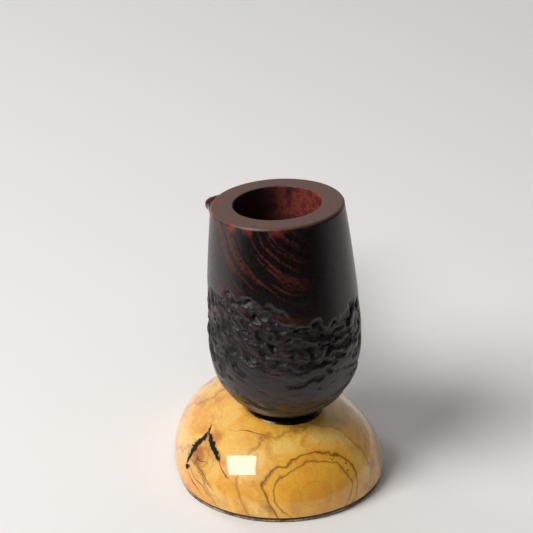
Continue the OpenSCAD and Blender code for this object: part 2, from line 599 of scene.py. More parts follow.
        # Fibres of the wood
        thick, long = self.fibre
        fibre_at = node(tree, "Mapping", {"Vector": loose,
                                          "Scale": (1 / thick, 1 / long, 1 / thick)}).outputs[0]
        fibre = node(tree, "TexNoise", {"Vector": fibre_at, "Scale": 1.0, "Detail": 3}).outputs[0]
        fibre_tone = node(tree, "MapRange", {0: fibre, 1: 0.3, 2: 0.75, 3: 0.0, 4: 0.3}).outputs[0]
        # Painted shade in tan on the lit left side, and brown streaks towards the right flank and low on the
        # left
        aside = node(tree, "SeparateXYZ", {0: loose}).outputs[0]
        painted_shade_left = node(tree, "MapRange", {0: aside, 1: -6.0, 2: -24.0, 3: 0.0, 4: 0.3}).outputs[0]
        flank = node(tree, "MapRange", {0: aside, 1: 11.0, 2: 24.0, 3: 0.0, 4: 0.9}).outputs[0]
        left = node(tree, "MapRange", {0: aside, 1: -26.0, 2: -8.0, 3: 0.55, 4: 0.16}).outputs[0]
        weight = node(tree, "Math", {0: left, 1: flank}, operation="MAXIMUM").outputs[0]
        streak_at = node(tree, "Mapping", {"Vector": loose, "Scale": (1 / 2.6, 1 / 14, 1 / 3.4)}).outputs[0]
        streaks = node(tree, "TexNoise", {"Vector": streak_at, "Scale": 1.0, "Detail": 3}).outputs[0]
        patch = node(tree, "MapRange", {0: streaks, 1: 0.5, 2: 0.66},
                     interpolation_type="SMOOTHSTEP").outputs[0]
        patch = node(tree, "Math", {0: patch, 1: weight}, operation="MULTIPLY").outputs[0]
        # Brown clouds round the knot and low on the front
        fog = add_streaks(tree, self.clouds, loose, 0.9)
        dense = node(tree, "MapRange", {0: streaks, 1: 0.34, 2: 0.62, 3: 0.4, 4: 1.0}).outputs[0]
        fog = node(tree, "Math", {0: fog, 1: dense}, operation="MULTIPLY").outputs[0]
        dark = add_streaks(tree, self.veins, loose, 0.7, growth)
        dark = node(tree, "Math", {0: dark, 1: self.pits(tree, mm)}, operation="MAXIMUM").outputs[0]
        # The cracks' near-black is partly painted shade of their depth
        gash = add_streaks(tree, self.cracks, add_noise(tree, mm, 1.2, 0.5, 5), 0.3)
        colour = bands
        for amount, tint in ((warm, self.amber), (fibre_tone, self.brown), (painted_shade_left, self.tan), (patch, self.brown),
                             (self.knot_figure(tree, loose), self.brown), (fog, self.brown), (dark, self.line),
                             (gash, self.crack)):
            colour = node(tree, "Mix", {0: amount, 6: colour, 7: tint}, data_type="RGBA").outputs[2]
        # The open cracks are bare and dull inside; the lacquer doesn't bridge them
        dull = node(tree, "MapRange", {0: gash, 1: 0.0, 2: 1.0, 3: 0.42, 4: 0.95}).outputs[0]
        film = node(tree, "MapRange", {0: gash, 1: 0.0, 2: 0.8, 3: 1.0, 4: 0.0}).outputs[0]
        sunk = node(tree, "Bump", {"Strength": 0.8, "Distance": -0.5 * MM, "Height": gash}).outputs[0]
        ripple = node(tree, "TexNoise", {"Vector": mm, "Scale": 1 / 7, "Detail": 1}).outputs[0]
        bump = node(tree, "Bump", {"Strength": 0.25, "Distance": 0.06 * MM, "Height": ripple}).outputs[0]
        close_material(tree, Base_Color=colour, Roughness=dull, IOR=1.5, Normal=sunk, Coat_Weight=film,
                       Coat_Roughness=0.035, Coat_IOR=1.5, Coat_Normal=bump)
        return material


@dataclass(frozen=True)
class MouldedRubber:
    """Black rubber, moulded and glossy or sliced and dull.

    Attributes:
        name: Name of the material.
        colour: Its colour.
        roughness: Roughness of its surface.
        grain: Size of its fine grain in millimetres.
        height: Height of that grain in millimetres.
    """

    name: str
    colour: str
    roughness: float
    grain: float
    height: float

    def make(self) -> bpy.types.Material:
        """Builds the material: soft black with a fine grain that breaks up its gloss.

        Returns:
            The material.
        """
        material, tree = new_material(self.name)
        mm = millimetres(tree)
        grain = node(tree, "TexNoise", {"Vector": mm, "Scale": 1 / self.grain, "Detail": 3}).outputs[0]
        tone = node(tree, "MapRange", {0: grain, 1: 0.3, 2: 0.7, 3: 0.0, 4: 1.0}).outputs[0]
        colour = node(tree, "Mix", {0: tone, 6: self.colour, 7: "#060606"}, data_type="RGBA").outputs[2]
        rough = node(tree, "MapRange", {0: grain, 1: 0.3, 2: 0.7, 3: self.roughness * 0.85,
                                        4: self.roughness * 1.2}).outputs[0]
        bump = node(tree, "Bump", {"Strength": 0.6, "Distance": self.height * MM, "Height": grain}).outputs[0]
        close_material(tree, Base_Color=colour, Roughness=rough, IOR=1.52, Normal=bump)
        return material


@dataclass(frozen=True)
class TanLeather:
    """Vegetable-tanned leather, cut with a blade, so its edge is fibrous and uneven in tone."""

    tan: str = "#c6a67a"
    dark: str = "#4b3521"
    # Size of a tuft of fibres, in millimetres
    fibre: float = 0.5

    def make(self) -> bpy.types.Material:
        """Builds the material.

        Returns:
            The material.
        """
        material, tree = new_material("tan_leather")
        mm = millimetres(tree)
        fibres = node(tree, "TexNoise", {"Vector": mm, "Scale": 1 / self.fibre, "Detail": 5,
                                         "Roughness": 0.65}).outputs[0]
        stain = node(tree, "TexNoise", {"Vector": mm, "Scale": 1 / 4, "Detail": 2}).outputs[0]
        tone = node(tree, "Math", {0: fibres, 1: stain}, operation="MULTIPLY").outputs[0]
        tone = node(tree, "MapRange", {0: tone, 1: 0.16, 2: 0.34}).outputs[0]
        colour = node(tree, "Mix", {0: tone, 6: self.dark, 7: self.tan}, data_type="RGBA").outputs[2]
        # The bottom third of the cut edge is darker
        low = node(tree, "SeparateXYZ", {0: mm}).outputs[2]
        edge = node(tree, "MapRange", {0: low, 1: 0.34, 2: 0.16}).outputs[0]
        colour = node(tree, "Mix", {0: edge, 6: colour, 7: self.dark}, data_type="RGBA").outputs[2]
        bump = node(tree, "Bump", {"Strength": 0.8, "Distance": 0.08 * MM, "Height": fibres}).outputs[0]
        close_material(tree, Base_Color=colour, Roughness=0.75, IOR=1.5, Normal=bump)
        return material


@dataclass(frozen=True)
class PipePlace:
    """How the pipe leans on its seat and its shank rises, in degrees, and where they are, in millimetres."""

    lean_left: float = 2.9
    lean_back: float = 1.5
    turn: float = -7.0
    rise: float = 1.5
    under_r: float = 19.0
    seat_z: float = 37.1
    shank_z: float = 10.2

    def matrix(self) -> Matrix:
        """Turns and moves a point of the upright pipe, in millimetres, to its place on the rest.

        Returns:
            The turn and move, in millimetres.
        """
        lean = Euler((-math.radians(self.lean_back), -math.radians(self.lean_left), 0)).to_matrix().to_4x4()
        spin = Matrix.Rotation(math.radians(self.turn), 4, "Z")
        return Matrix.Translation((0, 0, self.seat_z)) @ lean @ spin @ Matrix.Translation((0, 0, -self.under_r))

    def lift(self) -> Matrix:
        """Turns a point drawn on a level shank up to the rising shank, on the upright pipe."""
        axis = Matrix.Translation((0, 0, self.shank_z))
        return axis @ Matrix.Rotation(math.radians(self.rise), 4, "X") @ axis.inverted()

    def on_shank(self, p: np.ndarray) -> np.ndarray:
        """Turns points of the upright pipe back to those of a pipe with a level shank."""
        down = np.array(self.lift().inverted())
        return p @ down[:3, :3].T + down[:3, 3]

    def put(self, piece: Piece, place: Matrix) -> None:
        """Puts a piece of the pipe in its place, in its mesh.

        Args:
            piece: A piece drawn on the upright pipe.
            place: Its turn and move, in millimetres.
        """
        place = place.copy()
        place.translation *= MM
        piece.matrix_world = place
        apply_place(piece)

    def axes(self, tree: bpy.types.NodeTree) -> Socket:
        """Position in millimetres on the upright pipe's own axes."""
        place = self.matrix()
        return millimetres(tree, place.translation, place.to_euler())


@dataclass(frozen=True)
class Flame:
    """Flame grain of the briar: rings round an axis that comes out of the bowl's front, near its rim.

    Attributes:
        centre: A point on the axis, on the upright pipe, in millimetres.
        heading: Turn of the axis from the pipe's own +Y, in degrees.
    """

    centre: tuple[float, float, float] = (8.5, -17.0, 59.0)
    heading: float = 20.0

    def axes(self, p: np.ndarray) -> tuple[np.ndarray, np.ndarray, np.ndarray]:
        """Distance from the axis, angle round it and place along it, for points of the upright pipe.

        Args:
            p: Points of the upright pipe, in millimetres, one row each.

        Returns:
            The three values, each for every point.
        """
        a = math.radians(self.heading)
        q = p - np.array(self.centre)
        right = q[:, 0] * math.cos(a) - q[:, 1] * math.sin(a)
        along = q[:, 0] * math.sin(a) + q[:, 1] * math.cos(a)
        return np.hypot(right, q[:, 2]), np.arctan2(right, -q[:, 2]), along

    def vector(self, tree: bpy.types.NodeTree, mm: Socket) -> Socket:
        """Position from the axis: to the right, along it and up, for a position on the upright pipe.

        Args:
            tree: Node tree of the material.
            mm: Position on the upright pipe in millimetres.

        Returns:
            The position from the axis.
        """
        return node(tree, "Mapping", {"Vector": mm, "Location": self.centre,
                                      "Rotation": (0, 0, -math.radians(self.heading))},
                    vector_type="TEXTURE").outputs[0]


@dataclass(frozen=True)
class StainedBriar:
    """Briar, sanded, stained black-brown over red, carved below and polished with wax.

    The wax gives a soft gloss. The red of the soft grain shows through the stain in thin flames,
    and the carved hollows stay darker than their edges.
    """

    place: PipePlace
    flame: Flame
    black: str = "#0b0506"
    carved: str = "#170c0b"
    red: str = "#4b1a11"
    ember: str = "#84301b"
    hollow: str = "#070303"
    # Grey-brown of the flat rim: partly its own lighter colour, partly painted sheen of the light it reflects
    rim: str = "#553c35"
    rim_z: float = 53.7
    # Size of a stripe across the rings, and how far it runs aside and along the axis, in millimetres
    stripe: tuple[float, float, float] = (0.9, 15.0, 22.0)
    fleck: float = 0.6
    chip: float = 0.75
    pore: float = 0.35

    def flames(self, tree: bpy.types.NodeTree, mm: Socket, at: Socket, height: Socket) -> Socket:
        """Stripes that follow the rings and break up along them, strongest on the left and high up.

        Args:
            tree: Node tree of the material.
            mm: Position on the upright pipe in millimetres.
            at: Position from the axis of the grain.
            height: Height on the upright pipe.

        Returns:
            Their strength.
        """
        loose = add_noise(tree, at, 6, 0.55)
        flat = node(tree, "VectorMath", {0: loose, 1: (1, 0, 1)}, operation="MULTIPLY").outputs[0]
        side = node(tree, "SeparateXYZ", {0: at})
        away = node(tree, "VectorMath", {0: flat}, operation="LENGTH").outputs[1]
        ring = node(tree, "CombineXYZ", {
            i: node(tree, "Math", {0: way, 1: 1 / size}, operation="MULTIPLY").outputs[0]
            for i, (way, size) in enumerate(zip((away, *side.outputs[:2]), self.stripe))}).outputs[0]
        stripes = node(tree, "TexNoise", {"Vector": ring, "Scale": 1.0, "Detail": 1.2}).outputs[0]
        flames = node(tree, "MapRange", {0: stripes, 1: 0.5, 2: 0.64},
                      interpolation_type="SMOOTHSTEP").outputs[0]
        fleck = node(tree, "TexNoise", {"Vector": mm, "Scale": 1 / self.fleck, "Detail": 3}).outputs[0]
        fleck = node(tree, "MapRange", {0: fleck, 1: 0.38, 2: 0.6, 3: 0.12, 4: 1.15}).outputs[0]
        fade = node(tree, "MapRange", {0: side.outputs[0], 1: -1.0, 2: -12.0, 3: 0.03, 4: 1.0},
                    interpolation_type="SMOOTHSTEP").outputs[0]
        low = node(tree, "MapRange", {0: height, 1: 16.0, 2: 34.0, 3: 0.35, 4: 0.9}).outputs[0]
        for part in (fleck, fade, low):
            flames = node(tree, "Math", {0: flames, 1: part}, operation="MULTIPLY").outputs[0]
        return flames

    def rim_patches(self, tree: bpy.types.NodeTree, mm: Socket, at: Socket, height: Socket) -> Socket:
        """Red patches at the outer edge of the rim, mostly on the left.

        Args:
            tree: Node tree of the material.
            mm: Position on the upright pipe in millimetres.
            at: Position from the axis of the grain.
            height: Height on the upright pipe.

        Returns:
            Their strength.
        """
        patches = node(tree, "TexNoise", {"Vector": mm, "Scale": 1 / 3.0, "Detail": 3}).outputs[0]
        patches = node(tree, "MapRange", {0: patches, 1: 0.5, 2: 0.64}).outputs[0]
        plan = node(tree, "VectorMath", {0: mm, 1: (1, 1, 0)}, operation="MULTIPLY").outputs[0]
        out = node(tree, "VectorMath", {0: plan}, operation="LENGTH").outputs[1]
        out = node(tree, "MapRange", {0: out, 1: 11.8, 2: 15.0}).outputs[0]
        aside = node(tree, "SeparateXYZ", {0: at}).outputs[0]
        left = node(tree, "MapRange", {0: aside, 1: -3.0, 2: -19.0, 3: 0.05, 4: 0.75}).outputs[0]
        near_top = node(tree, "MapRange", {0: height, 1: 51.5, 2: 53.6}).outputs[0]
        for part in (out, left, near_top):
            patches = node(tree, "Math", {0: patches, 1: part}, operation="MULTIPLY").outputs[0]
        return patches

    def chips(self, tree: bpy.types.NodeTree, mm: Socket, height: Socket) -> Socket:
        """Fine chips left by the carving, too small for the mesh, as a height from 0 to 1.

        Args:
            tree: Node tree of the material.
            mm: Position on the upright pipe in millimetres.
            height: Height on the upright pipe.

        Returns:
            The height of the chips.
        """
        chips = node(tree, "TexNoise", {"Vector": mm, "Scale": 1 / self.chip, "Detail": 3,
                                        "Roughness": 0.6}).outputs[0]
        along = node(tree, "SeparateXYZ", {0: mm}).outputs[1]
        for part in (node(tree, "MapRange", {0: height, 1: 33.0, 2: 29.0}),
                     node(tree, "MapRange", {0: height, 1: 8.0, 2: 20.0, 3: 0.1, 4: 1.0}),
                     node(tree, "MapRange", {0: along, 1: 24.0, 2: 17.0})):
            chips = node(tree, "Math", {0: chips, 1: part.outputs[0]}, operation="MULTIPLY").outputs[0]
        return chips

    def make(self) -> bpy.types.Material:
        """Builds the material.

        Returns:
            The material.
        """
        material, tree = new_material("stained_waxed_briar")
        mm = self.place.axes(tree)
        at = self.flame.vector(tree, mm)
        height = node(tree, "SeparateXYZ", {0: mm}).outputs[2]
        ground = node(tree, "MapRange", {0: height, 1: 26.0, 2: 38.0}).outputs[0]
        # Carved hollows, kept dark by the stain
        hollow = node(tree, "Attribute", attribute_name="carving").outputs["Fac"]
        hollow = node(tree, "MapRange", {0: hollow, 1: 0.1, 2: 0.42, 3: 0.0, 4: 0.96}).outputs[0]
        # The flat rim turns grey-brown, partly as painted sheen
        top = node(tree, "MapRange", {0: height, 1: self.rim_z - 0.25, 2: self.rim_z + 0.25}).outputs[0]
        colour: Socket | str = self.carved
        for amount, tint in ((ground, self.black), (self.flames(tree, mm, at, height), self.red),
                             (hollow, self.hollow), (top, self.rim),
                             (self.rim_patches(tree, mm, at, height), self.ember)):
            colour = node(tree, "Mix", {0: amount, 6: colour, 7: tint}, data_type="RGBA").outputs[2]
        # The wax is thinner on the flat rim and in the hollows
        wax = node(tree, "TexNoise", {"Vector": mm, "Scale": 1 / 1.2, "Detail": 4}).outputs[0]
        rough = node(tree, "MapRange", {0: wax, 1: 0.3, 2: 0.7, 3: 0.27, 4: 0.37}).outputs[0]
        for part, gain in ((top, 0.16), (hollow, 0.25)):
            rough = node(tree, "Math", {0: part, 1: gain, 2: rough}, operation="MULTIPLY_ADD").outputs[0]
        pores = node(tree, "TexNoise", {"Vector": mm, "Scale": 1 / self.pore, "Detail": 3}).outputs[0]
        bump = node(tree, "Bump", {"Strength": 0.5, "Distance": 0.02 * MM, "Height": pores}).outputs[0]
        chips = self.chips(tree, mm, height)
        bump = node(tree, "Bump", {"Strength": 1.0, "Distance": 0.16 * MM, "Height": chips,
                                   "Normal": bump}).outputs[0]
        close_material(tree, Base_Color=colour, Roughness=rough, IOR=1.5, Normal=bump)
        return material


@dataclass(frozen=True)
class ChamberStainAndShade:
    """Bare wood inside the chamber, bored and then stained unevenly in orange and plum, with painted shade that
    turns it black on the left and low down.
    """

    place: PipePlace
    flame: Flame
    # Size of a blot of stain, in millimetres
    blot: float = 3.2

    def make(self) -> bpy.types.Material:
        """Builds the material.

        Returns:
            The material.
        """
        material, tree = new_material("stained_bored_briar_painted_shade")
        mm = self.place.axes(tree)
        side = node(tree, "SeparateXYZ", {0: self.flame.vector(tree, mm)})
        loose = add_noise(tree, mm, 3.5, 0.8)
        blots = node(tree, "TexNoise", {"Vector": loose, "Scale": 1 / self.blot, "Detail": 6,
                                        "Roughness": 0.66}).outputs[0]
        colour = node(tree, "ValToRGB", {0: blots}, stops=[
            (0.3, "#200a12"), (0.4, "#4b1626"), (0.48, "#652423"), (0.56, "#7d3c24"), (0.63, "#5c231b"),
            (0.72, "#431624")]).outputs[0]
        # Painted shade: black on the left, where the wall lies in shadow, and low down in the deep bore
        lit, high = (node(tree, "MapRange", {0: side.outputs[i], 1: dark, 2: bright},
                          interpolation_type="SMOOTHSTEP").outputs[0]
                     for i, dark, bright in ((0, -21.0, -9.0), (2, -32.0, -10.0)))
        lit = node(tree, "Math", {0: lit, 1: high}, operation="MULTIPLY").outputs[0]
        colour = node(tree, "Mix", {0: lit, 6: "#0d0607", 7: colour}, data_type="RGBA").outputs[2]
        bump = node(tree, "Bump", {"Strength": 0.5, "Distance": 0.05 * MM, "Height": blots}).outputs[0]
        close_material(tree, Base_Color=colour, Roughness=0.5, IOR=1.5, Normal=bump)
        return material


@dataclass(frozen=True)
class MarbledEbonite:
    """Ebonite, filed, polished and buffed to a gloss, with dark red swirled through near-black."""

    place: PipePlace
    red: str = "#4a0c16"
    dark: str = "#1c060c"

    def make(self) -> bpy.types.Material:
        """Builds the material.

        Returns:
            The material.
        """
        material, tree = new_material("polished_red_ebonite")
        mm = self.place.axes(tree)
        loose = add_noise(tree, mm, 9, 2.0)
        long_way = node(tree, "Mapping", {"Vector": loose, "Scale": (1 / 3, 1 / 11, 1 / 3)}).outputs[0]
        swirl = node(tree, "TexNoise", {"Vector": long_way, "Scale": 1.0, "Detail": 3,
                                        "Distortion": 1.2}).outputs[0]
        tone = node(tree, "MapRange", {0: swirl, 1: 0.4, 2: 0.62},
                    interpolation_type="SMOOTHSTEP").outputs[0]
        colour = node(tree, "Mix", {0: tone, 6: self.dark, 7: self.red}, data_type="RGBA").outputs[2]
        rough = node(tree, "MapRange", {0: swirl, 1: 0.3, 2: 0.7, 3: 0.1, 4: 0.16}).outputs[0]
        buff = node(tree, "TexNoise", {"Vector": mm, "Scale": 1 / 2.5, "Detail": 1}).outputs[0]
        bump = node(tree, "Bump", {"Strength": 0.3, "Distance": 0.02 * MM, "Height": buff}).outputs[0]
        close_material(tree, Base_Color=colour, Roughness=rough, IOR=1.6, Normal=bump)
        return material


@dataclass(frozen=True)
class TurnedAcetal:
    """Black acetal rod, turned on a lathe: satin, with fine rings left by the tool."""

    place: PipePlace
    pitch: float = 0.25

    def make(self) -> bpy.types.Material:
        """Builds the material.

        Returns:
            The material.
        """
        material, tree = new_material("turned_black_acetal")
        mm = self.place.axes(tree)
        cut = node(tree, "TexWave", {"Vector": mm, "Scale": 0.314 / self.pitch, "Distortion": 0.4},
                   bands_direction="Y").outputs[1]
        colour = node(tree, "Mix", {0: cut, 6: "#0b0b0c", 7: "#161617"}, data_type="RGBA").outputs[2]
        bump = node(tree, "Bump", {"Strength": 0.4, "Distance": 0.015 * MM, "Height": cut}).outputs[0]
        close_material(tree, Base_Color=colour, Roughness=0.32, IOR=1.48, Normal=bump)
        return material


# ---------------------------------------------------------------- sub-assemblies


def hand_in(piece: Piece, body: Body, node_name: str) -> None:
    """Says which body a piece rides on and which CAD node it stands for, and reports it.

    Args:
        piece: The finished piece.
        body: The body it moves with.
        node_name: The CAD node it replaces.
    """
    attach(piece, body.value)
    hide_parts(node_name)
    triangles = sum(len(face.vertices) - 2 for face in piece.data.polygons)
    LOG.info("%s: %d triangles, on %s, for %s", piece.name, triangles, body.value, node_name)


def dress(piece: Piece, *materials: bpy.types.Material) -> None:
    """Gives a piece its materials, in the order of its slots.

    Args:
        piece: The piece.
        *materials: One for each slot.
    """
    piece.data.materials.clear()
    for material in materials:
        piece.data.materials.append(material)


@dataclass
class Rest:
    """The wooden rest with its seat ring and the two layers under it. Sizes in millimetres."""

    place: PipePlace
    half_w: float = 25.5
    front: float = 24.7
    back: float = 38.8
    middle: float = 1.6
    seat_off: float = 0.55
    height: float = 20.7
    belly_z: float = 1.7
    wood_z: float = 1.4
    sheet_t: float = 0.65
    pad_inset: float = 0.4
    wobble: float = 0.16
    dish_r: float = 20.2
    ring_r: float = 8.2
    cord_r: float = 1.5
    shank_taper: tuple[float, float, float, float] = (10.0, 9.3, 44.0, 7.3)

    def oval(self, unit: np.ndarray, inset: float = 0.0) -> np.ndarray:
        """Stretches the plan of a unit circle to the outline of the rest, less an inset.

        Args:
            unit: Points on or in a unit circle.
            inset: How far inside the outline, in millimetres.

        Returns:
            The points in millimetres.
        """
        out = unit.copy()
        out[:, 0] = unit[:, 0] * (self.half_w - inset) - self.seat_off
        out[:, 1] = unit[:, 1] * np.where(unit[:, 1] > 0, self.back - inset, self.front - inset) + self.middle
        return out

    def seat_depth(self, p: np.ndarray, top: np.ndarray) -> np.ndarray:
        """Height of the wood where the dish and the shank's channel are cut into it.

        Args:
            p: Points of the dome.
            top: Their heights before the cuts.

        Returns:
            Their heights after the cuts.
        """
        out = np.hypot(p[:, 0], p[:, 1])
        dish = self.place.seat_z - np.sqrt(np.clip(self.dish_r**2 - out**2, 0.01, None))
        cut = soft_min(top, np.where(out < self.dish_r, dish, NO_CUT), 0.45)
        turn = self.place.matrix() @ self.place.lift()
        start, way = turn @ Vector((0, 0, self.place.shank_z)), turn.to_3x3() @ Vector((0, 1, 0))
        along = (p[:, 1] - start.y) / way.y
        y1, r1, y2, r2 = self.shank_taper
        radius = np.interp(along, [0.0, y1, y2], [r1 + (r1 - r2) * y1 / (y2 - y1), r1, r2])
        aside = p[:, 0] - (start.x + along * way.x)
        floor = start.z + along * way.z - np.sqrt(np.clip(radius**2 - aside**2, 0.0, None))
        floor = np.where((np.abs(aside) < radius) & (along > 2), floor, NO_CUT)
        return soft_min(cut, floor, 0.5)

    def ring_z(self) -> float:
        """Height of the middle of the ring's cord, from its CAD node."""
        low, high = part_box("seat_ring")
        return (low.z + high.z) / 2 / MM

    def carve_body(self) -> Piece:
        """Shapes the dome from a sphere: halved, stretched, seated and closed underneath.

        Returns:
            The wood, not yet dressed.
        """
        piece = add("olive_rest", bpy.ops.mesh.primitive_uv_sphere_add, segments=320, ring_count=220, radius=MM)
        edit(piece)
        trim((0, 0, 0), (0, 0, 1), clear_inner=True)
        leave_edit()
        unit = points(piece)
        p = self.oval(unit)
        p[:, 2] = self.belly_z + unit[:, 2] * (self.height - self.belly_z)
        # Shaped by hand: the dome is a little fuller in places, always within its plain shape
        wobble = self.wobble * soft_noise(p / 11.0, 5) * ease(unit[:, 2], 0.03, 0.3)
        wobble *= ease(1 - unit[:, 2], 0.1, 0.4)
        p[:, :2] -= unit[:, :2] * wobble[:, None]
        p[:, 2] = self.seat_depth(p, p[:, 2])
        put_points(piece, p)
        edit(piece)
        for fall, grow in ((0.16, 1.0), (0.14, 0.996)):
            floor = min(v.co.z for v in bmesh.from_edit_mesh(piece.data).verts) + 0.02 * MM
            choose(piece, Pick.EDGES, lambda e: e.is_boundary and max(v.co.z for v in e.verts) < floor)
            bpy.ops.mesh.extrude_edges_move(TRANSFORM_OT_translate={"value": (0, 0, -fall * MM)})
            bpy.ops.transform.resize(value=(grow, grow, 1))
        bpy.ops.mesh.edge_face_add()
        leave_edit()
        outwards(piece)
        return piece

    def mould_ring(self) -> Piece:
        """Shapes the seat ring, with the faint line that its mould leaves round the outside.

        Returns:
            The ring, not yet dressed.
        """
        seam = 0.03
        piece = add("rubber_seat_ring", bpy.ops.mesh.primitive_torus_add, major_segments=160, minor_segments=48,
                    major_radius=self.ring_r * MM, minor_radius=(self.cord_r - seam) * MM,
                    location=(0, 0, self.ring_z() * MM))
        p = points(piece)
        out = np.hypot(p[:, 0], p[:, 1])
        line = (np.abs(p[:, 2] - self.ring_z()) < 0.05) & (out > self.ring_r)
        p[line, :2] *= 1 + seam / out[line, None]
        put_points(piece, p)
        return piece

    def cut_layer(self, name: str, low: float, high: float, wobble: float, seed: int) -> Piece:
        """Cuts a flat layer to the rest's outline, with a slightly uneven edge.

        Args:
            name: Name of the piece.
            low: Height of its underside.
            high: Height of its top.
            wobble: How far the edge wanders inwards.
            seed: Chooses how it wanders.

        Returns:
            The layer.
        """
        piece = add(name, bpy.ops.mesh.primitive_cylinder_add, vertices=288, radius=self.half_w * MM,
                    depth=(high - low) * MM, location=(0, 0, (low + high) / 2 * MM))
        edit(piece)
        choose(piece, Pick.EDGES, lambda e: len({round(v.co.z / MM, 3) for v in e.verts}) == 1)
        bpy.ops.mesh.bevel(offset=0.1 * MM, segments=2, affect="EDGES")
        tall = (high - low) * 0.5 * MM
        choose(piece, Pick.EDGES, lambda e: abs(e.verts[0].co.z - e.verts[1].co.z) > tall)
        bpy.ops.mesh.subdivide(number_cuts=2)
        leave_edit()
        unit = points(piece)
        unit[:, :2] /= self.half_w
        p = self.oval(unit, self.pad_inset)
        shift = 0.7 * soft_noise(p / 6.0, seed) + 0.3 * soft_noise(p / np.array([0.8, 0.8, 0.3]), seed + 1)
        p[:, :2] -= unit[:, :2] * (wobble * shift)[:, None]
        put_points(piece, p)
        outwards(piece)
        return piece

    def build(self) -> None:
        """Builds and dresses the four pieces of the rest."""
        moulded = MouldedRubber("moulded_black_rubber", "#0b0b0b", 0.2, 0.6, 0.012)
        sliced = MouldedRubber("sliced_black_rubber", "#1c1d1f", 0.5, 0.25, 0.03)
        for piece, sharp, finish, node_name, slot in (
                (self.carve_body(), 50, LacqueredOlive(), "rest_body", "olive_wood"),
                (self.mould_ring(), 60, moulded, "seat_ring", "black_rubber"),
                (self.cut_layer("rubber_pad", self.sheet_t, self.wood_z, 0.14, 11), 40, sliced, "base_pad",
                 "pad_rubber"),
                (self.cut_layer("leather_sheet", 0.0, self.sheet_t, 0.22, 23), 40, TanLeather(), "base_sheet",
                 "tan_leather")):
            smooth_faces(piece, sharp)
            dress(piece, finish.make())
            hand_in(piece, Body.REST, node_name)


